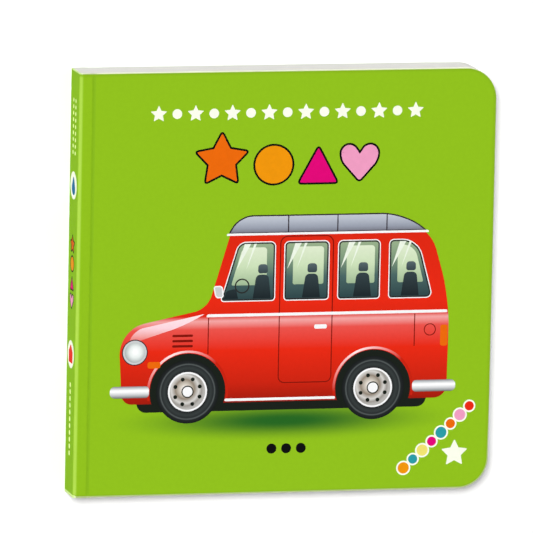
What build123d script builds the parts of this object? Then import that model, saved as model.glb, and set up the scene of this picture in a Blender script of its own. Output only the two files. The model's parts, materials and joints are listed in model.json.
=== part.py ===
from build123d import *
import os

# A square card book for a small child, closed and lying on its back cover.
# X runs from the spine to the fore-edge, Y from the tail to the head and
# Z from the back cover to the front cover. The origin is under the middle
# of the book, on the surface that it lies on.
#
# Stiff card leaves are stacked into one block. A strip of the cover, thin at
# the back and as thick as the boards beside the creases, is bent round the
# back of the block and glued to it, and each board swings on its crease.
# Boards and leaves are cut flush, and their two fore-edge corners are
# rounded together.

# Outside of the book
book_width = 130.0
book_height = 130.0
corner_radius = 9.5

# Leaves
leaf_count = 9
leaf_thickness = 1.05
leaf_edge_bevel = 0.12

# Cover card, which is only the printed sheet where it goes round the spine
cover_thickness = 1.8
spine_thickness = 0.6
printed_edge_round = 0.3
inside_edge_round = 0.12
spine_fold_radius = 1.3

# Creases that the covers swing on
crease_to_spine = 4.4
crease_slot = 0.3
crease_edge_round = 0.5

# Places that follow from the sizes above
block_thickness = leaf_count * leaf_thickness
block_top_z = cover_thickness + block_thickness
book_thickness = block_thickness + 2 * cover_thickness
spine_x = -book_width / 2
fore_edge_x = book_width / 2
block_back_x = spine_x + spine_thickness
crease_x = spine_x + crease_to_spine
strip_end_x = crease_x - crease_slot / 2
board_start_x = crease_x + crease_slot / 2

# One leaf, flat at the height of the lowest one, with its three cut sides
# slightly bevelled and its folded side, glued to the spine, left square
with BuildPart() as leaf:
    with BuildSketch(Plane.XY.offset(cover_thickness)) as leaf_outline:
        with Locations((block_back_x, 0)):
            Rectangle(fore_edge_x - block_back_x, book_height, align=(Align.MIN, Align.CENTER))
        fillet(leaf_outline.vertices().group_by(Axis.X)[-1], corner_radius)
    extrude(amount=leaf_thickness)
    upper_edges = leaf.faces().sort_by(Axis.Z)[-1].edges().sort_by(Axis.X)
    lower_edges = leaf.faces().sort_by(Axis.Z)[0].edges().sort_by(Axis.X)
    chamfer(upper_edges[1:] + lower_edges[1:], leaf_edge_bevel)

# The leaves, stacked and glued into one block
with BuildPart() as page_block:
    with Locations(*[(0, 0, i * leaf_thickness) for i in range(leaf_count)]):
        add(leaf.part)
page_block.part.label = "page_block"

# The strip of the cover that is glued round the back of the block
with BuildPart() as spine_wrap:
    with BuildSketch(Plane.XZ) as wrap_section:
        with Locations((spine_x, 0)):
            Rectangle(strip_end_x - spine_x, book_thickness, align=(Align.MIN, Align.MIN))
        fillet(wrap_section.vertices().group_by(Axis.X)[0], spine_fold_radius)
        fillet(wrap_section.vertices().group_by(Axis.X)[-1], crease_edge_round)
        with Locations((block_back_x, cover_thickness)):
            Rectangle(
                strip_end_x - block_back_x,
                block_thickness,
                align=(Align.MIN, Align.MIN),
                mode=Mode.SUBTRACT,
            )
    extrude(amount=book_height / 2, both=True)
spine_wrap.part.label = "spine_wrap"

# The front cover board, from the crease to the fore-edge, printed side up
with BuildPart() as front_cover:
    with BuildSketch(Plane.XY.offset(block_top_z)) as board_outline:
        with Locations((board_start_x, 0)):
            Rectangle(fore_edge_x - board_start_x, book_height, align=(Align.MIN, Align.CENTER))
        fillet(board_outline.vertices().group_by(Axis.X)[-1], corner_radius)
    extrude(amount=cover_thickness)
    inside_edges = front_cover.faces().sort_by(Axis.Z)[0].edges().sort_by(Axis.X)
    fillet(inside_edges[1:], inside_edge_round)
    printed_edges = front_cover.faces().sort_by(Axis.Z)[-1].edges().sort_by(Axis.X)
    fillet(printed_edges[1:], printed_edge_round)
    crease_edge = front_cover.faces().sort_by(Axis.Z)[-1].edges().sort_by(Axis.X)[0]
    fillet(crease_edge, crease_edge_round)
front_cover.part.label = "front_cover"

# The back cover board is the front one turned over
with BuildPart() as back_cover:
    mirror(front_cover.part, about=Plane.XY.offset(book_thickness / 2))
back_cover.part.label = "back_cover"

os.makedirs("parts", exist_ok=True)
export_step(page_block.part, "parts/page_block.step")
export_step(spine_wrap.part, "parts/spine_wrap.step")
export_step(front_cover.part, "parts/front_cover.step")
export_step(back_cover.part, "parts/back_cover.step")
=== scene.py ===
import json
import math

import bmesh
import bpy
from bpy.props import FloatProperty, FloatVectorProperty, IntProperty, PointerProperty
from mathutils import Matrix, Vector


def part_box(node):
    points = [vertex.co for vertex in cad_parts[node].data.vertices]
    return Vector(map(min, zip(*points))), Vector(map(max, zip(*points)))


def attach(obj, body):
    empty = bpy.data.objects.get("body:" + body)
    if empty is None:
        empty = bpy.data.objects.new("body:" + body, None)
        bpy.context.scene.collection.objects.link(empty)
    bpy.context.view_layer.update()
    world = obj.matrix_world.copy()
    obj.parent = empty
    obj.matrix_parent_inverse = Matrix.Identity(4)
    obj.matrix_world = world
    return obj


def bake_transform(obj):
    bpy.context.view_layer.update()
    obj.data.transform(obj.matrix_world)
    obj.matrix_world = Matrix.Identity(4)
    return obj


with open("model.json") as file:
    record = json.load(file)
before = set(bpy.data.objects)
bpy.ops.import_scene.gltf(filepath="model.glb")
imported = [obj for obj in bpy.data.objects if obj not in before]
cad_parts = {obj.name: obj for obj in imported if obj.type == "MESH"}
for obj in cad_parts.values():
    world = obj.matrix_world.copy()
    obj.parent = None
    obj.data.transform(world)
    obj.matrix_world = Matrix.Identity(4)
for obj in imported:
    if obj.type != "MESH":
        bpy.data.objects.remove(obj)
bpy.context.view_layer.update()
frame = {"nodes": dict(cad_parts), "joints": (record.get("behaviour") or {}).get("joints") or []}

bl_info = {
    "name": "Baby board book",
    "version": (1, 0, 0),
    "blender": (4, 5, 0),
    "location": "3D View > Sidebar > Board book",
    "description": "Dresses a closed card book for a small child: card, print, creases and stage",
    "category": "Object",
}

MM = 0.001

# Places taken from the book itself, in metres
front_low, front_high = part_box("front_cover")
back_low, back_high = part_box("back_cover")
wrap_low, wrap_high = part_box("spine_wrap")
block_low, block_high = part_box("page_block")
top_z = front_high.z
head_y = front_high.y
spine_x = wrap_low.x
hinges = {joint["name"]: Vector(joint["pos_m"]) for joint in frame["joints"]}
crease_x = hinges["front_hinge"].x
half_slot = front_low.x - crease_x
board_thickness = front_high.z - front_low.z
block_thickness = block_high.z - block_low.z

# Radius of the fore-edge corners, and how many leaves the block has
CORNER = 9.5 * MM
LEAVES = 9

# What tells a flat face from its edge, and keeps two faces from lying in one plane
HAIR = 0.02 * MM


def paint(red, green, blue):
    """A printed colour, given as on a screen from 0 to 255, as the linear colour that a shader takes."""
    shares = [channel / 255 for channel in (red, green, blue)]
    return tuple(s / 12.92 if s <= 0.04045 else ((s + 0.055) / 1.055) ** 2.4 for s in shares)


def colour(name, description, *screen):
    return FloatVectorProperty(
        name=name, description=description, default=paint(*screen), subtype="COLOR", min=0, max=1
    )


def length(name, description, millimetres):
    return FloatProperty(
        name=name, description=description, default=millimetres * MM, min=0, subtype="DISTANCE", unit="LENGTH"
    )


def degrees(name, description, value):
    return FloatProperty(name=name, description=description, default=math.radians(value), subtype="ANGLE")


def amount(name, description, value, **limits):
    return FloatProperty(name=name, description=description, default=value, min=0, **limits)


def count(name, description, value, least):
    return IntProperty(name=name, description=description, default=value, min=least)


class CardSettings(bpy.types.PropertyGroup):
    """The card, its laminate and its wear."""

    cover_green: colour("Cover green", "Print that covers the outside of the book", 139, 186, 25)
    # Painted shade: the print on the spine face is painted darker than on the cover
    spine_shade_green: colour("Spine green", "The same print on the spine, a little rubbed", 131, 181, 0)
    # Painted highlight along the spine folds, for the light they catch, and in part print lightened where it
    # stretches
    fold_highlight_green: colour("Fold green", "Print where it is stretched over the spine folds", 168, 207, 74)
    # Painted shade in the crease beside the spine
    crease_shade_green: colour("Crease green", "Print where the cover is creased to open", 130, 177, 24)
    # Painted shade along the rounded cut edges, where they turn from the light
    edge_shade_green: colour("Edge green", "Print where the knife pressed it down at the cut edges", 133, 177, 26)
    shade_green: colour("Shade green", "Soft shade printed on the ground under the bus", 34, 98, 30)
    cut_card: colour("Cut card", "Cut edge of the front cover's card", 236, 239, 212)
    # Painted shade: the back cover's cut card is a darker copy of the same card
    shaded_back_cut_card: colour("Back cut card", "Cut edge of the back cover's card", 212, 213, 205)
    # Card between the print and the cut edges, thinly inked and painted darker as shade along the cut edge
    shaded_margin_card: colour("Margin card", "Thinly inked card between the print and the cut edges", 176, 192, 132)
    spine_margin: colour("Spine margin", "Bare edge of the thin sheet round the spine", 204, 230, 146)
    inside_white: colour("Inside white", "Coated white inside of the covers", 228, 228, 223)
    leaf_edge: colour("Leaf edge", "Cut edges of the leaves", 213, 213, 211)
    leaf_edge_warm: colour("Warm leaf edge", "Cut edges of the leaves that took more glue", 220, 219, 212)
    laminate_roughness: amount("Laminate roughness", "Roughness of the film over the print", 0.25, max=1)
    bare_roughness: amount("Bare roughness", "Roughness of cut and unprinted card", 0.9, max=1)
    print_margin: length("Print margin", "Bare card between the print and the cut edges of a cover", 0.2)
    # The wider tail margin widens the painted shade along the tail edge
    tail_margin: length("Tail margin", "The same at the tail, where the sheet lay a little high", 0.5)
    spine_tail_margin: length("Spine tail margin", "The same where the sheet goes round the spine", 0.8)
    # Width of that painted fold highlight
    fold_highlight_width: length("Fold width", "How far the stretched print reaches across each spine fold", 1.06)
    crease_width: length("Crease width", "Width of the pressed crease beside the spine", 1.5)
    crease_depth: length("Crease depth", "Depth of the pressed crease", 0.06)
    crease_steps: count("Crease steps", "Narrow steps that the crease bends in", 12, 4)


class PrintSettings(bpy.types.PropertyGroup):
    """The motifs printed on the cover and the spine."""

    white: colour("White ink", "White of the row and the rims", 243, 246, 228)
    pale: colour("Pale ink", "Yellowish white of the small dots on the spine", 238, 255, 168)
    black: colour("Black ink", "Outlines and dots", 8, 9, 8)
    orange: colour("Orange ink", "Star", 227, 101, 4)
    amber: colour("Amber ink", "Disc", 231, 144, 4)
    magenta: colour("Magenta ink", "Triangle", 217, 0, 115)
    pink: colour("Pink ink", "Heart", 231, 151, 187)
    teal: colour("Teal ink", "Beads of the corner row", 40, 150, 160)
    yellow: colour("Yellow ink", "Bead of the corner row", 231, 218, 108)
    blue: colour("Blue ink", "Drop on the spine", 16, 104, 152)
    red: colour("Red ink", "Panels of the bus", 224, 38, 14)
    silver: colour("Silver ink", "Trim, rims and bumpers of the bus", 196, 198, 200)
    glass: colour("Glass ink", "Pale light through the windows of the bus", 196, 216, 178)
    film: length("Ink layer", "Height of one layer of print, drawn thicker than real ink", 0.02)
    outline: length("Outline", "Black outline of the four shapes", 0.62)
    row_pitch: length("Row pitch", "Spacing of the white motifs in the row over the shapes", 5.72)
    row_count: count("Row count", "White motifs in that row", 15, 1)
    spine_disc: length("Spine disc", "Radius of the white discs on the spine", 4.25)


class StageSettings(bpy.types.PropertyGroup):
    """The floor, the lights and the camera."""

    floor_side: length("Floor side", "Side of the square floor", 12000)
    view_distance: length("View distance", "From the camera to the middle of the book", 3000)
    view_width: length("View width", "Width of the view at the book", 162.2)
    view_azimuth: degrees("View azimuth", "How far the camera leans towards the spine", 13.8)
    view_elevation: degrees("View elevation", "How far the camera leans towards the head", 9.4)
    view_roll: degrees("View roll", "Turn of the view about its own axis", 1.14)
    book_right: length("Book right", "How far right of the middle of the view the book lies", 4.26)
    book_low: length("Book low", "How far below the middle of the view the book lies", 3.8)
    key_strength: amount("Key", "Strength of the high soft key light", 2.75)
    key_softness: degrees("Key softness", "Angle that the key light fills", 14)
    side_power: amount("Spine light", "Power of the low light on the spine side", 0.2, unit="POWER")
    room_walls: amount("Room walls", "Strength of the light from the pale walls round about", 0.95)
    room_ceiling: amount("Room ceiling", "Strength of the light from overhead", 0.2)


# Modelling helpers, each one doing what a hand does with the same tools


def deselect_all():
    """Object mode with nothing selected, because an operator acts on all that is."""
    if bpy.context.mode != "OBJECT":
        bpy.ops.object.mode_set(mode="OBJECT")
    bpy.ops.object.select_all(action="DESELECT")


def name_and_edit(name):
    """Names the new primitive, moves its place into its mesh and opens it in edit mode."""
    piece = bpy.context.object
    piece.name = name
    piece.data.name = name
    bpy.ops.object.transform_apply(location=True, rotation=True, scale=True)
    bpy.ops.object.mode_set(mode="EDIT")
    bpy.ops.mesh.select_mode(type="VERT")
    return piece


def select_where(piece, test):
    """In edit mode, selects the vertices whose places pass the test and nothing else."""
    bpy.ops.mesh.select_mode(type="VERT")
    bpy.ops.mesh.select_all(action="DESELECT")
    mesh = bmesh.from_edit_mesh(piece.data)
    for vertex in mesh.verts:
        vertex.select = test(vertex.co)
    mesh.select_flush_mode()
    bmesh.update_edit_mesh(piece.data)


def select_at(piece, *places):
    select_where(piece, lambda co: any((co - place).length < 1e-6 for place in places))


def wear(piece, *finishes):
    for finish in finishes:
        piece.data.materials.append(finish)


def draw_outline(name, corners):
    """A flat face with these corners, (x, y) or (x, y, round) in millimetres, drawn one corner at a time.
    round is how far from the corner its rounding starts."""
    deselect_all()
    places = [Vector((corner[0] * MM, corner[1] * MM, 0)) for corner in corners]
    bpy.ops.mesh.primitive_plane_add(size=MM, location=places[0])
    piece = name_and_edit(name)
    bpy.ops.mesh.select_all(action="SELECT")
    bpy.ops.mesh.merge(type="CENTER")
    for before, after in zip(places, places[1:]):
        bpy.ops.mesh.extrude_region_move(TRANSFORM_OT_translate={"value": after - before})
    select_at(piece, places[0], places[-1])
    bpy.ops.mesh.edge_face_add()
    bpy.ops.mesh.select_all(action="SELECT")
    bpy.ops.mesh.edge_face_add()
    for place, corner in zip(places, corners):
        if len(corner) == 3 and corner[2] > 0:
            select_at(piece, place)
            bpy.ops.mesh.bevel(offset=corner[2] * MM, segments=8, profile=0.5, affect="VERTICES")
    return piece


def draw_disc(name, x, y, radius, sides=56):
    """A flat round face, in millimetres."""
    deselect_all()
    bpy.ops.mesh.primitive_circle_add(
        vertices=sides, radius=radius * MM, fill_type="NGON", location=(x * MM, y * MM, 0)
    )
    return name_and_edit(name)


def star_corners(x, y, radius, waist, tip):
    """The corners of a five-pointed star, with its tips rounded by tip."""
    corners = []
    for i in range(5):
        for reach, rounding, degree in ((radius, tip, 90 + 72 * i), (radius * waist, 0, 126 + 72 * i)):
            angle = math.radians(degree)
            corners.append((x + reach * math.cos(angle), y + reach * math.sin(angle), rounding))
    return corners


def heart_corners(x, y, size):
    """The corners of a heart twice its size wide, from its point round to its cleft and back."""
    side = ((1.0, 0.17, 0.36), (0.92, 0.93, 0.4), (0.26, 0.97, 0.26))
    corners = [(x, y - 0.95 * size, 0.24 * size)]
    corners += [(x + a * size, y + b * size, r * size) for a, b, r in side]
    corners.append((x, y + 0.6 * size))
    corners += [(x - a * size, y + b * size, r * size) for a, b, r in reversed(side)]
    return corners


def rim(piece, widths, keep_inside=True):
    """Insets the flat face being edited once for each width. Its border keeps the first material, and each
    ring further in, down to the inside, takes the next."""
    bpy.ops.mesh.select_mode(type="FACE")
    bpy.ops.mesh.select_all(action="SELECT")
    for number, width in enumerate(widths, 1):
        bpy.ops.mesh.inset(thickness=width * MM, use_even_offset=True)
        mesh = bmesh.from_edit_mesh(piece.data)
        for face in mesh.faces:
            if face.select:
                face.material_index = number
        bmesh.update_edit_mesh(piece.data)
    if not keep_inside:
        bpy.ops.mesh.delete(type="FACE")


def cut_below(y):
    """Cuts off what the flat face being edited has below this height on the cover, in millimetres."""
    bpy.ops.mesh.select_all(action="SELECT")
    bpy.ops.mesh.bisect(plane_co=(0, y * MM, 0), plane_no=(0, 1, 0), clear_inner=True)


def stamp(piece, layer, *finishes, rims=(), keep_inside=True):
    """Gives the flat face being edited its rims and its film of ink, on the front cover and above the layers
    below it."""
    wear(piece, *finishes)
    if rims:
        rim(piece, rims, keep_inside)
    film = bpy.context.scene.book_print.film
    bpy.ops.mesh.select_all(action="SELECT")
    bpy.ops.transform.translate(value=(0, 0, top_z - film / 2))
    bpy.ops.mesh.extrude_region_move(TRANSFORM_OT_translate={"value": (0, 0, film * (layer + 0.5))})
    bpy.ops.mesh.select_all(action="SELECT")
    bpy.ops.mesh.normals_make_consistent(inside=False)
    bpy.ops.mesh.quads_convert_to_tris(quad_method="BEAUTY", ngon_method="BEAUTY")
    bpy.ops.object.mode_set(mode="OBJECT")
    return piece


def gather(name, parts):
    """Joins printed parts into one piece."""
    deselect_all()
    for part in parts:
        part.select_set(True)
    bpy.context.view_layer.objects.active = parts[0]
    bpy.ops.object.join()
    piece = bpy.context.object
    piece.name = name
    piece.data.name = name
    return piece


def print_front(name, parts):
    """Joins the print of a motif and lets it ride on the front cover."""
    piece = gather(name, parts)
    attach(piece, "front")


class Nodes:
    """A node tree, and the few steps that its nodes are put together with."""

    def __init__(self, tree, space):
        self.tree = tree
        self.place = self.add("ShaderNodeTexCoord").outputs[space]
        split = self.add("ShaderNodeSeparateXYZ")
        self.feed(split.inputs[0], self.place)
        self.x, self.y, self.z = split.outputs

    def add(self, kind, **settings):
        node = self.tree.nodes.new(kind)
        for name, value in settings.items():
            setattr(node, name, value)
        return node

    def feed(self, socket, value):
        """Sets a socket, or joins it to another node's output."""
        if isinstance(value, bpy.types.NodeSocket):
            self.tree.links.new(value, socket)
        elif socket.type == "RGBA" and len(value) == 3:
            socket.default_value = (*value, 1)
        else:
            socket.default_value = value

    def math(self, operation, *values):
        node = self.add("ShaderNodeMath", operation=operation)
        for socket, value in zip(node.inputs, values):
            self.feed(socket, value)
        return node.outputs[0]

    def away(self, value, middle):
        """How far a coordinate is from the middle of a band."""
        return self.math("ABSOLUTE", self.math("SUBTRACT", value, middle))

    def reach(self, across, along):
        """How far a point is from a centre, by its distances across and along."""
        squares = [self.math("MULTIPLY", side, side) for side in (across, along)]
        return self.math("SQRT", self.math("ADD", *squares))

    def span(self, value, start, end, low=0.0, high=1.0):
        """Smoothly low at start and high at end."""
        node = self.add("ShaderNodeMapRange", interpolation_type="SMOOTHSTEP")
        for socket, given in zip(node.inputs, (value, start, end, low, high)):
            self.feed(socket, given)
        return node.outputs[0]

    def mix(self, share, first, second, blend_type="MIX"):
        node = self.add("ShaderNodeMix", data_type="RGBA", blend_type=blend_type)
        self.feed(node.inputs["Factor"], share)
        first_socket, second_socket = [s for s in node.inputs if s.type == "RGBA"]
        self.feed(first_socket, first)
        self.feed(second_socket, second)
        return [s for s in node.outputs if s.type == "RGBA"][0]

    def noise(self, scale, detail, stretch=(1, 1, 1)):
        placed = self.add("ShaderNodeMapping")
        self.feed(placed.inputs["Vector"], self.place)
        placed.inputs["Scale"].default_value = stretch
        node = self.add("ShaderNodeTexNoise")
        self.feed(node.inputs["Vector"], placed.outputs[0])
        node.inputs["Scale"].default_value = scale
        node.inputs["Detail"].default_value = detail
        return node.outputs[0]

    def ramp(self, value, *stops):
        """Colours along a value from 0 to 1. Each stop is (position, colour)."""
        node = self.add("ShaderNodeValToRGB")
        self.feed(node.inputs[0], value)
        marks = node.color_ramp.elements
        while len(marks) < len(stops):
            marks.new(0.5)
        for mark, (position, shade) in zip(marks, stops):
            mark.position = position
            mark.color = (*shade, 1)
        return node.outputs[0]

    def grain(self, base, share, scale=900.0, stretch=(1, 1, 1)):
        """A colour made a little lighter and darker by fine noise."""
        shade = self.span(self.noise(scale, 3.0, stretch), 0.3, 0.7, 1 - share, 1 + share)
        tint = self.add("ShaderNodeCombineColor")
        for socket in tint.inputs[:3]:
            self.feed(socket, shade)
        return self.mix(1.0, base, tint.outputs[0], "MULTIPLY")


class Finish(Nodes):
    """A material, with patterns that follow Object coordinates."""

    def __init__(self, name, roughness=0.4, specular=0.15):
        self.card = bpy.context.scene.book_card
        self.material = bpy.data.materials.new(name)
        self.material.use_nodes = True
        super().__init__(self.material.node_tree, "Object")
        self.shader = self.tree.nodes["Principled BSDF"]
        self.shader.inputs["Roughness"].default_value = roughness
        self.shader.inputs["Specular IOR Level"].default_value = specular

    def bump(self, height, strength, distance):
        node = self.add("ShaderNodeBump")
        self.feed(node.inputs["Height"], height)
        node.inputs["Strength"].default_value = strength
        node.inputs["Distance"].default_value = distance
        self.feed(self.shader.inputs["Normal"], node.outputs[0])

    def done(self, base):
        self.feed(self.shader.inputs["Base Color"], base)
        return self.material


def laminate(finish, base, bare=0.0):
    """Film over print: a faint orange peel, and a gloss that varies a little. Bare card is matt."""
    film = finish.card.laminate_roughness
    spread = 0.018
    finish.bump(finish.noise(700.0, 2.0), 0.12, 0.04 * MM)
    gloss = finish.span(finish.noise(30.0, 1.0), 0.0, 1.0, film - spread, film + spread)
    gloss = finish.span(bare, 0.0, 1.0, gloss, finish.card.bare_roughness)
    finish.feed(finish.shader.inputs["Roughness"], gloss)
    return finish.done(finish.grain(base, 0.012))


# Finishes of the card


def cut_fibres(finish, base):
    """The colour of a cut card edge: fine layers along the sheet."""
    layers = finish.grain(base, 0.05, 260.0, (1, 1, 30))
    return finish.grain(layers, 0.025, 3000.0)


def bare_card(finish, depth, cut_card):
    """Thinly inked card, painted a shade darker, on the printed side and fibres down the cut side, by the
    depth under the print.
    """
    down = finish.span(depth, 0.03 * MM, 0.16 * MM)
    return finish.mix(down, finish.card.shaded_margin_card, cut_fibres(finish, cut_card))


def printed_margin(finish):
    """How wide the bare card is, which is wider along the tail edge than along the other cut edges."""
    margins = finish.card.print_margin, finish.card.tail_margin
    return finish.span(finish.y, -head_y / 2, -head_y + 2 * MM, *margins)


def distance_to_ends(finish):
    """How far a point of the spine lies from the nearer of the head and the tail."""
    return finish.math("SUBTRACT", head_y, finish.math("ABSOLUTE", finish.y))


def distance_to_cut(finish):
    """How far a point of a board lies inside its cut edges and rounded corners."""
    straight = head_y - CORNER
    from_middle = finish.math("ABSOLUTE", finish.y)
    across = finish.math("MAXIMUM", finish.math("SUBTRACT", finish.x, straight), 0.0)
    along = finish.math("MAXIMUM", finish.math("SUBTRACT", from_middle, straight), 0.0)
    return finish.math("SUBTRACT", CORNER, finish.reach(across, along))


def shade_painted_print(finish, green, to_cut):
    """The print with painted shade: darker in the crease, and darker near the cut edges where the rounded
    edge turns from the light, by the distance to the cut edges.
    """
    card = finish.card
    # Painted shade: the band of the pressed crease takes the darker crease green
    pressed = finish.span(finish.away(finish.x, crease_x), card.crease_width / 2, card.crease_width * 0.2)
    green = finish.mix(pressed, green, card.crease_shade_green)
    # Painted shade, from 1.3 mm inside the cut edges to full at 0.5 mm
    return finish.mix(finish.span(to_cut, 1.3 * MM, 0.5 * MM), green, card.edge_shade_green)


def bus_shade(finish):
    """The green of the front cover, with a soft shade on the ground under the bus."""
    half_width, half_height, ground_y = 52 * MM, 6.2 * MM, -42.5 * MM
    across = finish.math("DIVIDE", finish.x, half_width)
    along = finish.math("DIVIDE", finish.math("SUBTRACT", finish.y, ground_y), half_height)
    shaded = finish.span(finish.reach(across, along), 1.1, 0.1)
    return finish.mix(shaded, finish.card.cover_green, finish.card.shade_green)


def cover_board_finish(name, printed_z, inside_z, cut_card, with_shade):
    """Print outside, cut card round the edge and coated white inside."""
    finish = Finish(name)
    depth = finish.away(finish.z, printed_z)
    green = bus_shade(finish) if with_shade else finish.card.cover_green
    to_cut = distance_to_cut(finish)
    # Painted shade in the crease and along the cut edges
    green = shade_painted_print(finish, green, to_cut)
    trimmed = finish.math("LESS_THAN", to_cut, printed_margin(finish))
    below_print = finish.math("GREATER_THAN", depth, 0.76 * MM)
    cut = finish.math("MAXIMUM", trimmed, below_print)
    outside = finish.mix(cut, green, bare_card(finish, depth, cut_card))
    inside = finish.math("LESS_THAN", finish.away(finish.z, inside_z), HAIR)
    return laminate(finish, finish.mix(inside, outside, finish.card.inside_white), cut)


def spine_wrap_finish():
    """Print all round the spine: a painted highlight along the folds, where the print is also lightened by
    stretching, painted shade on the spine face, and cut card at both ends, painted darker towards the back.
    """
    finish = Finish("spine_wrap_card")
    card = finish.card
    depth = finish.math("MINIMUM", finish.math("SUBTRACT", top_z, finish.z), finish.z)
    round_fold = finish.math("ADD", depth, finish.math("SUBTRACT", finish.x, spine_x))
    # Painted highlight: the fold band, broken into streaks, takes the lighter fold green
    fold = finish.span(round_fold, card.fold_highlight_width * 1.12, card.fold_highlight_width * 0.7)
    streaks = finish.span(finish.noise(160.0, 4.0, (1, 0.25, 1)), 0.2, 0.6, 0.8, 1.0)
    # The spine face: matt where the film is rubbed, and painted in the darker spine green as shade
    rubbed_and_shaded = finish.span(finish.x, spine_x + 1.0 * MM, spine_x + 0.2 * MM)
    green = finish.mix(rubbed_and_shaded, card.cover_green, card.spine_shade_green)
    green = finish.mix(finish.math("MULTIPLY", fold, streaks), green, card.fold_highlight_green)
    to_cut = distance_to_ends(finish)
    # Painted shade in the crease and towards the head and tail
    green = shade_painted_print(finish, green, to_cut)
    spine_tail = finish.math("MULTIPLY", rubbed_and_shaded, finish.span(finish.y, 0.0, -head_y + 2 * MM))
    margin = finish.span(spine_tail, 0.0, 1.0, printed_margin(finish), card.spine_tail_margin)
    cut = finish.math("LESS_THAN", to_cut, margin)
    # Painted shade: the cut ends of the spine grow darker towards the back cover
    towards_front = finish.span(finish.z, 2 * MM, top_z - 2 * MM)
    cut_card = finish.mix(towards_front, card.shaded_back_cut_card, card.cut_card)
    sheet = finish.span(finish.x, spine_x + 0.9 * MM, spine_x + 0.3 * MM)
    ends = finish.mix(sheet, bare_card(finish, depth, cut_card), card.spine_margin)
    bare = finish.math("MAXIMUM", cut, finish.math("MULTIPLY", rubbed_and_shaded, 0.9))
    return laminate(finish, finish.mix(cut, green, ends), bare)


def page_block_finish():
    """Coated white leaves with cut edges, each leaf a slightly different white."""
    leaf = block_thickness / LEAVES
    middle_z = (block_low.z + block_high.z) / 2
    glue_and_shade_grey = (0.35, 0.35, 0.34)
    finish = Finish("page_card", 0.5, 0.25)
    card = finish.card
    through = finish.math("DIVIDE", finish.math("SUBTRACT", finish.z, block_low.z), leaf)
    number = finish.add("ShaderNodeTexWhiteNoise", noise_dimensions="1D")
    finish.feed(number.inputs["W"], finish.math("FLOOR", through))
    edge = finish.mix(number.outputs["Value"], card.leaf_edge, card.leaf_edge_warm)
    gap = finish.span(finish.away(finish.math("FRACT", through), 0.5), 0.42, 0.5)
    # Dark lines between the leaves: glue lines, and painted shade in the gaps
    edge = finish.mix(finish.math("MULTIPLY", gap, 0.25), cut_fibres(finish, edge), glue_and_shade_grey)
    face = finish.math("GREATER_THAN", finish.away(finish.z, middle_z), block_thickness / 2 - HAIR)
    finish.bump(finish.noise(260.0, 3.0, (1, 1, 30)), 0.3, 0.05 * MM)
    finish.feed(finish.shader.inputs["Roughness"], finish.span(face, 0.0, 1.0, card.bare_roughness, 0.45))
    return finish.done(finish.mix(face, edge, card.inside_white))


def crease_finish(name, outer_z, cut_card):
    """The bent card of a crease: printed film outside, white card within and cut card at its ends."""
    finish = Finish(name)
    depth = finish.away(finish.z, outer_z)
    to_cut = distance_to_ends(finish)
    # Painted shade in the crease and towards the head and tail
    green = shade_painted_print(finish, finish.card.cover_green, to_cut)
    inked = finish.mix(finish.span(depth, 0.55 * MM, 0.45 * MM), finish.card.inside_white, green)
    cut = finish.math("LESS_THAN", to_cut, printed_margin(finish))
    return laminate(finish, finish.mix(cut, inked, bare_card(finish, depth, cut_card)), cut)


# Finishes of the print

WHITE = (1.0, 1.0, 1.0)


def lighter(shade, share):
    """A colour part of the way towards white."""
    return tuple(channel + (1 - channel) * share for channel in shade)


def darker(shade, share):
    """A colour part of the way towards black."""
    return tuple(channel - channel * share for channel in shade)


def ink(name, shade, bare=0.0):
    """One flat ink under the film, or without it where bare says the film is worn off."""
    finish = Finish(name)
    return laminate(finish, finish.grain(shade, 0.02, 400.0), bare)


def upright_shading(name, low, high, *stops):
    """Ink that changes from the height low to the height high on the cover, in millimetres."""
    finish = Finish(name)
    up = finish.math("DIVIDE", finish.math("SUBTRACT", finish.y, low * MM), (high - low) * MM)
    return laminate(finish, finish.ramp(up, *stops))


def round_shading(name, x, y, radius, *stops):
    """Ink that changes from a centre on the cover outwards, in millimetres."""
    finish = Finish(name)
    across = finish.math("SUBTRACT", finish.x, x * MM)
    along = finish.math("SUBTRACT", finish.y, y * MM)
    outwards = finish.math("DIVIDE", finish.reach(across, along), radius * MM)
    return laminate(finish, finish.ramp(outwards, *stops))


class BOOK_OT_card(bpy.types.Operator):
    """Gives the covers, the spine and the leaves their card"""

    bl_idname = "book.card"
    bl_label = "Card"

    def execute(self, context):
        card = context.scene.book_card
        front = cover_board_finish("front_cover_card", top_z, front_low.z, card.cut_card, True)
        # The back cover's cut edges take the darker copy of the card, as painted shade
        back = cover_board_finish("back_cover_card", back_low.z, back_high.z, card.shaded_back_cut_card, False)
        finishes = {
            "front_cover": front,
            "back_cover": back,
            "spine_wrap": spine_wrap_finish(),
            "page_block": page_block_finish(),
        }
        for node, finish in finishes.items():
            for slot in frame["nodes"][node].material_slots:
                slot.link = "OBJECT"
                slot.material = finish
        return {"FINISHED"}


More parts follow.
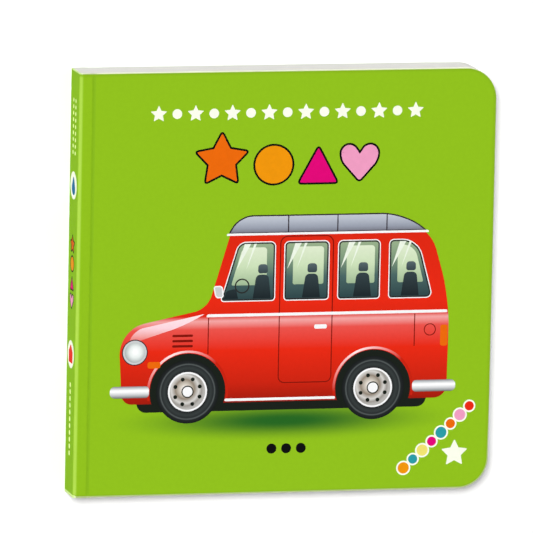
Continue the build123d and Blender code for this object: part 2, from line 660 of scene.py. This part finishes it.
class BOOK_OT_creases(bpy.types.Operator):
    """Makes the two strips of card that lie over the creases between the covers and the spine"""

    bl_idname = "book.creases"
    bl_label = "Creases"

    def execute(self, context):
        card = context.scene.book_card
        # The back crease's cut ends take the darker copy of the card, as painted shade
        for name, side, outer_z, body, cut_card in (
            ("front_crease", 1, top_z, "front", card.cut_card),
            ("back_crease", -1, back_low.z, "back", card.shaded_back_cut_card),
        ):
            strip = self.make_strip(name, side, outer_z, card)
            wear(strip, crease_finish(name + "_card", outer_z, cut_card))
            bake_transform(strip)
        return {"FINISHED"}

    def make_strip(self, name, side, outer_z, card):
        """A long strip, narrow towards the inside. Its outer side covers the ends of the boards, and has a
        shallow valley pressed into it."""
        deselect_all()
        half = card.crease_width / 2
        proud = 0.004 * MM
        flat_steps = 6
        bpy.ops.mesh.primitive_grid_add(
            x_subdivisions=2 * flat_steps + card.crease_steps, y_subdivisions=1, size=2, location=(0, 0, 0)
        )
        bpy.context.object.scale = (1, head_y, 1)
        strip = name_and_edit(name)
        places = sorted({round(v.co.x, 6) for v in bmesh.from_edit_mesh(strip.data).verts})
        for column, place in enumerate(places):
            inner = column - flat_steps
            if inner < 0:
                across = -half_slot + (half - half_slot) * inner / flat_steps
            elif inner > card.crease_steps:
                across = half_slot + (half - half_slot) * (inner - card.crease_steps) / flat_steps
            else:
                across = half_slot * (2 * inner / card.crease_steps - 1)
            valley = card.crease_depth * math.cos(math.pi / 2 * across / half) ** 2
            select_where(strip, lambda co, place=place: abs(co.x - place) < 1e-5)
            bpy.ops.transform.translate(
                value=(crease_x + across - place, 0, outer_z + side * (proud - valley))
            )
        bpy.ops.mesh.select_all(action="SELECT")
        bpy.ops.mesh.extrude_region_move(TRANSFORM_OT_translate={"value": (0, 0, -side * board_thickness)})
        inner_half = 0.85 * half_slot
        bpy.ops.transform.resize(value=(inner_half / half, 1, 1), center_override=(crease_x, 0, 0))
        inner_z = outer_z - side * (board_thickness - HAIR)
        select_where(strip, lambda co: abs(co.z - outer_z) > board_thickness / 2)
        bpy.ops.transform.resize(value=(1, 1, 0), center_override=(crease_x, 0, inner_z))
        bpy.ops.mesh.select_all(action="SELECT")
        bpy.ops.mesh.normals_make_consistent(inside=False)
        bpy.ops.object.mode_set(mode="OBJECT")
        return strip


class BOOK_OT_white_row(bpy.types.Operator):
    """Prints the row of white stars and dots over the four shapes"""

    bl_idname = "book.white_row"
    bl_label = "White row"

    def execute(self, context):
        motifs = context.scene.book_print
        white = ink("white_ink", motifs.white)
        middle_x, y = -0.4, 52.3
        parts = []
        for i in range(motifs.row_count):
            x = (i - (motifs.row_count - 1) / 2) * motifs.row_pitch / MM + middle_x
            if i % 2 == 0:
                part = draw_outline(f"row_star_{i}", star_corners(x, y, 2.7, waist=0.48, tip=0.3))
            else:
                part = draw_disc(f"row_dot_{i}", x, y, 1.5, 32)
            parts.append(stamp(part, 1, white))
        print_front("front_white_row", parts)
        return {"FINISHED"}


class BOOK_OT_shapes(bpy.types.Operator):
    """Prints the four coloured shapes with black outlines"""

    bl_idname = "book.shapes"
    bl_label = "Four shapes"

    def execute(self, context):
        motifs = context.scene.book_print
        black = ink("outline_ink", motifs.black)

        def outlined(shape, shade):
            fill = ink(shade + "_ink", getattr(motifs, shade))
            return stamp(shape, 1, black, fill, rims=(motifs.outline / MM,))

        triangle = [(2.6, 30.0, 1.8), (16.4, 30.0, 1.8), (9.5, 42.6, 1.8)]
        parts = [
            outlined(draw_outline("star", star_corners(-20.6, 37.9, 9.6, waist=0.52, tip=1.8)), "orange"),
            outlined(draw_disc("disc", -4.4, 36.3, 6.4), "amber"),
            outlined(draw_outline("triangle", triangle), "magenta"),
            outlined(draw_outline("heart", heart_corners(22.4, 36.3, 6.6)), "pink"),
        ]
        print_front("front_shapes", parts)
        return {"FINISHED"}


class BOOK_OT_picture(bpy.types.Operator):
    """Prints the picture of a toy bus, seen from its side"""

    bl_idname = "book.picture"
    bl_label = "Bus picture"

    def execute(self, context):
        self.parts = []
        self.mix_inks(context.scene.book_print)
        self.body()
        self.windows()
        self.trim()
        self.wheel("front", -30.0, -33.0)
        self.wheel("rear", 28.0, -33.0)
        print_front("front_picture", self.parts)
        return {"FINISHED"}

    def mix_inks(self, motifs):
        red, silver = motifs.red, motifs.silver
        self.red = upright_shading(
            "bus_red", -37.0, 18.0,
            (0.0, darker(red, 0.6)), (0.12, darker(red, 0.25)), (0.3, red), (0.42, lighter(red, 0.06)),
            (0.465, lighter(red, 0.34)), (0.49, darker(red, 0.1)), (0.56, red), (1.0, darker(red, 0.12)),
        )
        self.seam = ink("bus_seam", darker(red, 0.75))
        self.bonnet = upright_shading(
            "bus_bonnet", -18.2, -9.2,
            (0.0, red), (0.3, lighter(red, 0.35)), (0.55, paint(244, 206, 214)), (1.0, paint(246, 226, 230)),
        )
        self.roof = upright_shading(
            "bus_roof", 15.2, 20.9,
            (0.0, paint(104, 104, 114)), (0.3, paint(146, 152, 166)), (0.7, paint(176, 182, 194)),
            (1.0, paint(190, 196, 202)),
        )
        self.roof_edge = ink("roof_edge", paint(44, 34, 42))
        self.rubber = ink("window_rubber", lighter(motifs.black, 0.02))
        self.glass = upright_shading(
            "window_glass", -5.5, 12.6,
            (0.0, paint(40, 62, 66)), (0.4, paint(70, 98, 96)), (0.7, paint(122, 148, 120)),
            (1.0, paint(150, 172, 136)),
        )
        self.far_side = upright_shading(
            "far_windows", -1.0, 11.2,
            (0.0, paint(150, 176, 140)), (0.5, motifs.glass), (1.0, paint(216, 228, 200)),
        )
        self.shine = ink("window_shine", lighter(motifs.glass, 0.5))
        self.seat = upright_shading(
            "seat_grey", -5.0, 6.4,
            (0.0, paint(24, 34, 38)), (0.7, paint(50, 64, 68)), (1.0, paint(88, 104, 108)),
        )
        self.silver = ink("bus_silver", silver)
        self.bright = ink("bus_bright", lighter(silver, 0.7))
        self.chrome = upright_shading(
            "bumper_silver", -34.8, -30.8,
            (0.0, (0.05, 0.05, 0.055)), (0.3, silver), (0.6, WHITE), (0.8, silver), (1.0, (0.12, 0.12, 0.13)),
        )
        self.orange = ink("indicator_orange", motifs.orange)
        self.dark = ink("under_dark", (0.008, 0.012, 0.008))

    def panel(self, name, corners, layer, *finishes, **rims):
        self.parts.append(stamp(draw_outline(name, corners), layer, *finishes, **rims))

    def bar(self, name, left, low, right, high, rounding, layer, finish):
        """An upright rectangle with its corners rounded alike."""
        corners = ((left, low), (left, high), (right, high), (right, low))
        self.panel(name, [(x, y, rounding) for x, y in corners], layer, finish)

    def disc(self, name, x, y, radius, sides, layer, *finishes, **rims):
        self.parts.append(stamp(draw_disc(name, x, y, radius, sides), layer, *finishes, **rims))

    def body(self):
        self.panel("under", [(-45, -39.2, 2), (44, -39.2, 2), (46, -33), (-47, -33)], 1, self.dark)
        outline = [
            (-50.4, -36.6, 3), (-51.8, -13.5, 8), (-24.2, -7.6, 4), (-16.6, 18.2, 4),
            (44.5, 18.2, 9), (51.6, -6.0, 9), (51.2, -36.6, 4),
        ]
        self.panel("body", outline, 2, self.red)
        roof = [(-18.2, 15.2, 0.8), (-14.8, 20.9, 4.2), (37.0, 20.9, 7), (44.2, 15.2, 0.8)]
        self.panel("roof", roof, 3, self.roof_edge, self.roof, rims=(0.4,))
        for x in (0.4, 15.8, 31.2):
            self.bar("roof_rib", x, 15.6, x + 0.35, 20.5, 0, 4, self.roof_edge)
        gutter = [(-18.7, 14.7, 0.3), (-18.5, 15.4, 0.3), (44.5, 15.4, 0.3), (44.7, 14.7, 0.3)]
        self.panel("gutter", gutter, 4, self.bright)
        light = [
            (-48.8, -18.2, 1.2), (-46.9, -13.7, 3.0), (-25.2, -9.2), (-31.0, -12.6, 5.0), (-41.0, -15.6, 5.0),
        ]
        self.panel("bonnet_light", light, 3, self.bonnet)

    def windows(self):
        """Four panes with the far side's windows, a seat and a slanting reflection in each."""
        panes = (
            [(-20.4, -5.6, 1.2), (-14.9, 12.8, 2.4), (-3.2, 12.8, 1.6), (-3.2, -5.6, 1.2)],
            [(-0.6, -5.6, 1.2), (-0.6, 12.8, 1.6), (13.6, 12.8, 1.6), (13.6, -5.6, 1.2)],
            [(16.2, -5.6, 1.2), (16.2, 12.8, 1.6), (29.6, 12.8, 1.6), (29.6, -5.6, 1.2)],
            [(32.2, -5.6, 1.2), (32.2, 12.8, 1.6), (41.4, 12.8, 5.0), (46.4, -5.6, 2.4)],
        )
        far_panes = (
            [(-17.0, -0.6, 0.6), (-13.6, 11.0, 1.6), (-6.0, 11.0, 1.0), (-6.0, -0.6, 0.6)],
            [(2.2, -0.6, 0.6), (2.2, 11.0, 1.0), (11.8, 11.0, 1.0), (11.8, -0.6, 0.6)],
            [(19.0, -0.6, 0.6), (19.0, 11.0, 1.0), (27.8, 11.0, 1.0), (27.8, -0.6, 0.6)],
            [(35.0, -0.6, 0.6), (35.0, 11.0, 1.0), (40.2, 11.0, 3.6), (43.2, -0.6, 0.6)],
        )
        seat = [(-0.4, -4.7), (0.6, 2.6, 1.3), (4.4, 2.6, 1.3), (5.2, -4.7)]
        headrest = [(1.1, 3.0, 0.8), (1.2, 5.8, 1.0), (4.1, 5.8, 1.0), (4.2, 3.0, 0.8)]
        seat_places = (-9.8, 5.6, 21.6, 36.6)
        for i, (near, far, seat_x) in enumerate(zip(panes, far_panes, seat_places)):
            self.panel(f"window_{i}", near, 3, self.bright, self.rubber, self.glass, rims=(0.3, 0.45))
            self.panel(f"far_window_{i}", far, 4, self.far_side)
            for name, corners in (("seat", seat), ("headrest", headrest)):
                self.panel(f"{name}_{i}", [(seat_x + x, *rest) for x, *rest in corners], 5, self.seat)
            for offset, width in ((0.6, 2.0), (3.6, 0.8)):
                top = far[1][0] + offset
                self.panel(f"shine_{i}", [(top - 2.4, 4.2), (top, 12.1), (top + width, 12.1)], 6, self.shine)
        dashboard = [(-19.2, -4.7), (-18.4, -2.2, 0.8), (-15.4, -1.6, 0.8), (-14.8, -4.7)]
        self.panel("dashboard", dashboard, 5, self.seat)
        self.disc("steering_wheel", -13.6, -0.8, 2.3, 40, 6, self.rubber, rims=(0.4,), keep_inside=False)

    def trim(self):
        """Seams, vents, mirror, strips, lamps and bumpers."""
        door = [(-1.9, -31.0, 2), (-1.9, 14.4, 2.4), (14.9, 14.4, 2.4), (14.9, -31.0, 2)]
        self.panel("door_seam", door, 3, self.seam, rims=(0.3,), keep_inside=False)
        self.bar("bonnet_seam", -24.0, -21.6, -23.7, -10.4, 0, 3, self.seam)
        self.bar("rear_seam", 40.6, -20.4, 40.9, -10.4, 0, 3, self.seam)
        self.disc("fuel_cap", 45.6, -15.4, 1.9, 32, 3, self.seam, rims=(0.28,), keep_inside=False)
        for i in range(3):
            low = -16.1 - 1.6 * i
            self.bar(f"vent_{i}", -35.0, low, -28.6, low + 0.7, 0.3, 4, self.seam)
        mirror = [(-21.8, -4.4, 0.9), (-22.6, -0.6, 1.0), (-19.6, -0.6, 1.0), (-19.2, -4.4, 0.9)]
        self.panel("mirror", mirror, 6, self.bright, self.silver, rims=(0.4,))
        belt = [(-24.6, -10.2, 0.4), (-24.2, -9.3, 0.4), (50.9, -9.3, 0.4), (51.0, -10.2, 0.4)]
        self.panel("belt", belt, 4, self.bright)
        self.bar("sill", -18.4, -36.2, 16.2, -35.4, 0.3, 4, self.bright)
        self.bar("handle", 9.2, -14.4, 13.2, -13.1, 0.5, 4, self.bright)
        self.bar("indicator", -42.6, -25.6, -38.6, -23.6, 0.7, 4, self.orange)
        self.bar("tail_lamp", 48.9, -20.5, 51.2, -14.0, 0.7, 4, self.orange)
        front = [(-54.2, -34.6, 1.6), (-54.2, -31.0, 1.6), (-42.0, -31.0, 1.2), (-42.0, -34.6, 1.2)]
        self.panel("front_bumper", front, 5, self.chrome)
        rear = [(40.4, -34.6, 1.2), (40.4, -31.0, 1.2), (54.0, -31.0, 1.6), (54.0, -34.6, 1.6)]
        self.panel("rear_bumper", rear, 5, self.chrome)
        lamp = round_shading(
            "headlamp_glass", -46.4, -20.4, 3.6,
            (0.0, WHITE), (0.5, (0.75, 0.8, 0.78)), (1.0, (0.3, 0.34, 0.34)),
        )
        self.disc("headlamp", -46.6, -20.6, 4.0, 56, 4, self.roof_edge, self.silver, lamp, rims=(0.3, 0.6))

    def wheel(self, side, x, y):
        """A wheel in its arch: red lip, dark arch, tyre, bright rim, domed hub, eight holes and a cap."""
        red = bpy.context.scene.book_print.red
        lip_red = round_shading(
            side + "_lip_red", x - 5, y + 11, 14.0,
            (0.0, lighter(red, 0.75)), (0.75, lighter(red, 0.15)), (1.0, darker(red, 0.3)),
        )
        lip = draw_disc(side + "_lip", x, y, 12.7, 72)
        rim(lip, (0.7,), keep_inside=False)
        cut_below(-35.6)
        self.parts.append(stamp(lip, 3, lip_red))
        arch = draw_disc(side + "_arch", x, y, 11.8)
        cut_below(-36.6)
        self.parts.append(stamp(arch, 3, self.dark))
        tyre = round_shading(
            side + "_tyre_black", x, y, 9.8, (0.6, (0.01, 0.011, 0.012)), (0.74, (0.034, 0.042, 0.042)),
            (0.83, (0.02, 0.024, 0.025)), (0.86, (0.085, 0.1, 0.1)), (0.9, (0.014, 0.017, 0.018)),
            (1.0, (0.007, 0.009, 0.009)),
        )
        hub = round_shading(
            side + "_hub_metal", x - 0.8, y + 0.8, 6.0, (0.0, WHITE), (0.25, paint(206, 198, 186)),
            (0.5, paint(140, 128, 114)), (0.72, paint(206, 204, 200)), (0.86, paint(150, 146, 140)),
            (1.0, paint(176, 174, 170)),
        )
        self.disc(side + "_tyre", x, y, 9.8, 72, 4, tyre)
        self.disc(side + "_hub", x, y, 6.1, 56, 5, self.bright, hub, rims=(0.55,))
        for i in range(8):
            angle = math.radians(22.5 + 45 * i)
            hole_x, hole_y = x + 4.1 * math.cos(angle), y + 4.1 * math.sin(angle)
            self.disc(f"{side}_hole_{i}", hole_x, hole_y, 0.62, 16, 6, self.dark)
        self.disc(side + "_cap", x, y, 1.9, 32, 6, self.dark, self.bright, rims=(0.35,))


class BOOK_OT_caption(bpy.types.Operator):
    """Prints three black dots under the picture"""

    bl_idname = "book.caption"
    bl_label = "Black dots"

    def execute(self, context):
        black = ink("dot_ink", context.scene.book_print.black)
        middle_x, y, pitch = 1.2, -51.2, 4.6
        dots = [
            stamp(draw_disc(f"dot_{i}", middle_x + (i - 1) * pitch, y, 1.55, 40), 1, black) for i in range(3)
        ]
        print_front("front_dots", dots)
        return {"FINISHED"}


class BOOK_OT_corner(bpy.types.Operator):
    """Prints the slanting row of rimmed beads and the star in the lower corner"""

    bl_idname = "book.corner"
    bl_label = "Corner row"

    def execute(self, context):
        motifs = context.scene.book_print
        white = ink("rim_ink", motifs.white)
        start, end = Vector((38.2, -58.2)), Vector((58.6, -39.4))
        row = ("amber", "teal", "yellow", "magenta", "teal", "orange", "pink", "red")
        inks = {name: ink("bead_" + name, getattr(motifs, name)) for name in dict.fromkeys(row)}
        parts = []
        for i, name in enumerate(row):
            place = start.lerp(end, i / (len(row) - 1))
            radius, layer = (2.25, 1) if i % 2 == 0 else (1.95, 2)
            bead = draw_disc(f"bead_{i}", place.x, place.y, radius, 40)
            parts.append(stamp(bead, layer, white, inks[name], rims=(0.5,)))
        star = draw_outline("corner_star", star_corners(54.2, -54.0, 4.4, waist=0.5, tip=0.5))
        parts.append(stamp(star, 1, white))
        print_front("front_corner_row", parts)
        return {"FINISHED"}


class BOOK_OT_spine(bpy.types.Operator):
    """Prints the spine: rows of dots, two white discs and four small shapes"""

    bl_idname = "book.spine"
    bl_label = "Spine print"

    def execute(self, context):
        motifs = context.scene.book_print
        shades = ("white", "pale", "black", "blue", "red", "orange", "amber", "magenta", "pink")
        inks = {name: ink("spine_" + name, getattr(motifs, name), 0.9) for name in shades}

        def outlined(shape, shade):
            return stamp(shape, 1, inks["black"], inks[shade], rims=(0.48,))

        head_dots = [(column, 40.0 + 2.0 * i) for column in (-1.5, 1.5) for i in range(9)]
        tail_dots = [(0, -31.2 - 2.1 * i) for i in range(11)]
        radius = motifs.spine_disc / MM
        drop = [(-2.8, 28.6, 1.8), (0.2, 33.4, 1.4), (2.9, 28.2, 1.8), (0, 26.6, 1.4)]
        house = [(-2.6, -24.4, 0.7), (-2.6, -20.9), (0, -18.6, 0.7), (2.6, -20.9), (2.6, -24.4, 0.7)]
        triangle = [(-2.7, -2.2, 0.7), (2.7, -2.2, 0.7), (0, 2.6, 0.7)]
        parts = [stamp(draw_disc("head_dot", x, y, 0.62, 16), 1, inks["pale"]) for x, y in head_dots]
        parts += [stamp(draw_disc("tail_dot", x, y, 0.78, 16), 1, inks["pale"]) for x, y in tail_dots]
        parts += [
            stamp(draw_disc("head_disc", 0, 30.0, radius), 1, inks["white"]),
            stamp(draw_disc("tail_disc", 0, -21.8, radius), 1, inks["white"]),
            stamp(draw_outline("blue_drop", drop), 2, inks["blue"]),
            stamp(draw_outline("red_house", house), 2, inks["red"]),
            outlined(draw_outline("small_star", star_corners(0, 11.9, 3.5, waist=0.52, tip=0.8)), "orange"),
            outlined(draw_disc("small_round", 0, 6.0, 2.6, 32), "amber"),
            outlined(draw_outline("small_triangle", triangle), "magenta"),
            outlined(draw_outline("small_heart", heart_corners(0, -5.6, 2.7)), "pink"),
        ]
        piece = gather("spine_print", parts)
        self.wrap_to_spine(piece)
        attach(piece, "block")
        return {"FINISHED"}

    def wrap_to_spine(self, piece):
        """Turns print drawn on the cover's plane onto the spine, with the cover's outside to the left."""
        deselect_all()
        piece.select_set(True)
        bpy.context.view_layer.objects.active = piece
        piece.location = (spine_x + top_z, 0, (wrap_low.z + wrap_high.z) / 2)
        piece.rotation_euler = (0, -math.pi / 2, 0)
        bpy.ops.object.transform_apply(location=True, rotation=True, scale=True)


class BOOK_OT_stage(bpy.types.Operator):
    """Sets the pale floor, the soft lights and the camera"""

    bl_idname = "book.stage"
    bl_label = "Stage"

    def execute(self, context):
        stage = context.scene.book_stage
        deselect_all()
        bpy.ops.mesh.primitive_plane_add(size=stage.floor_side, location=(0, 0, -0.1 * MM))
        floor = context.object
        floor.name = "floor"
        finish = Finish("floor_white", 0.8, 0.1)
        wear(floor, finish.done(finish.grain((0.97, 0.97, 0.967), 0.004, 40.0)))
        self.lights(stage)
        self.room(stage)
        self.camera(context, stage)
        context.scene.view_settings.view_transform = "Standard"
        return {"FINISHED"}

    def lights(self, stage):
        """A high soft key over the corner of spine and head, and a low light on the spine."""
        bpy.ops.object.light_add(type="SUN", rotation=(math.radians(-14.6), math.radians(-16.9), 0))
        key = bpy.context.object
        key.name = "key_light"
        key.data.energy = stage.key_strength
        key.data.angle = stage.key_softness
        bpy.ops.object.light_add(type="AREA", location=(-0.6, 0.05, 0.28))
        side = bpy.context.object
        side.name = "spine_light"
        side.data.energy = stage.side_power
        side.data.size = 0.35
        side.rotation_euler = (Vector((spine_x, 0, 0)) - side.location).to_track_quat("-Z", "Y").to_euler()

    def room(self, stage):
        """Pale walls and a darker ceiling, as the world's own light."""
        world = bpy.data.worlds.new("room")
        world.use_nodes = True
        room = Nodes(world.node_tree, "Generated")
        light = room.tree.nodes["Background"]
        room.feed(light.inputs["Color"], (1, 1, 1))
        room.feed(light.inputs["Strength"], room.span(room.z, 0.0, 0.6, stage.room_walls, stage.room_ceiling))
        bpy.context.scene.world = world

    def camera(self, context, stage):
        """A long lens over the cover, leaning towards the spine and the head."""
        azimuth, elevation = stage.view_azimuth, stage.view_elevation
        level = math.cos(elevation)
        back = Vector((-math.sin(azimuth) * level, math.sin(elevation), math.cos(azimuth) * level))
        sensor = 36
        bpy.ops.object.camera_add()
        camera = context.object
        camera.name = "camera"
        camera.data.sensor_width = sensor
        camera.data.lens = sensor * stage.view_distance / stage.view_width
        camera.data.clip_end = 100
        right = Vector((0, 1, 0)).cross(back).normalized()
        up = back.cross(right)
        right = right * math.cos(stage.view_roll) + up * math.sin(stage.view_roll)
        up = back.cross(right)
        aim = Vector((0, 0, top_z / 2)) - right * stage.book_right + up * stage.book_low
        camera.location = aim + back * stage.view_distance
        camera.rotation_euler = Matrix((right, up, back)).transposed().to_euler()
        context.scene.camera = camera


class BOOK_PT_panel(bpy.types.Panel):
    """Lists the steps in the sidebar"""

    bl_label = "Board book"
    bl_idname = "BOOK_PT_panel"
    bl_space_type = "VIEW_3D"
    bl_region_type = "UI"
    bl_category = "Board book"

    def draw(self, context):
        for operator in OPERATORS:
            self.layout.operator(operator.bl_idname)
        for settings, group in SETTINGS.items():
            box = self.layout.box()
            for name in group.__annotations__:
                box.prop(getattr(context.scene, settings), name)


SETTINGS = {"book_card": CardSettings, "book_print": PrintSettings, "book_stage": StageSettings}
OPERATORS = (
    BOOK_OT_card,
    BOOK_OT_creases,
    BOOK_OT_white_row,
    BOOK_OT_shapes,
    BOOK_OT_picture,
    BOOK_OT_caption,
    BOOK_OT_corner,
    BOOK_OT_spine,
    BOOK_OT_stage,
)
CLASSES = (*SETTINGS.values(), *OPERATORS, BOOK_PT_panel)


def register():
    for item in CLASSES:
        bpy.utils.register_class(item)
    for name, group in SETTINGS.items():
        setattr(bpy.types.Scene, name, PointerProperty(type=group))


def unregister():
    for name in SETTINGS:
        delattr(bpy.types.Scene, name)
    for item in reversed(CLASSES):
        bpy.utils.unregister_class(item)


def main():
    """Dresses the book step by step."""
    register()
    bpy.ops.book.card()
    bpy.ops.book.creases()
    bpy.ops.book.white_row()
    bpy.ops.book.shapes()
    bpy.ops.book.picture()
    bpy.ops.book.caption()
    bpy.ops.book.corner()
    bpy.ops.book.spine()
    bpy.ops.book.stage()


if __name__ == "__main__":
    main()
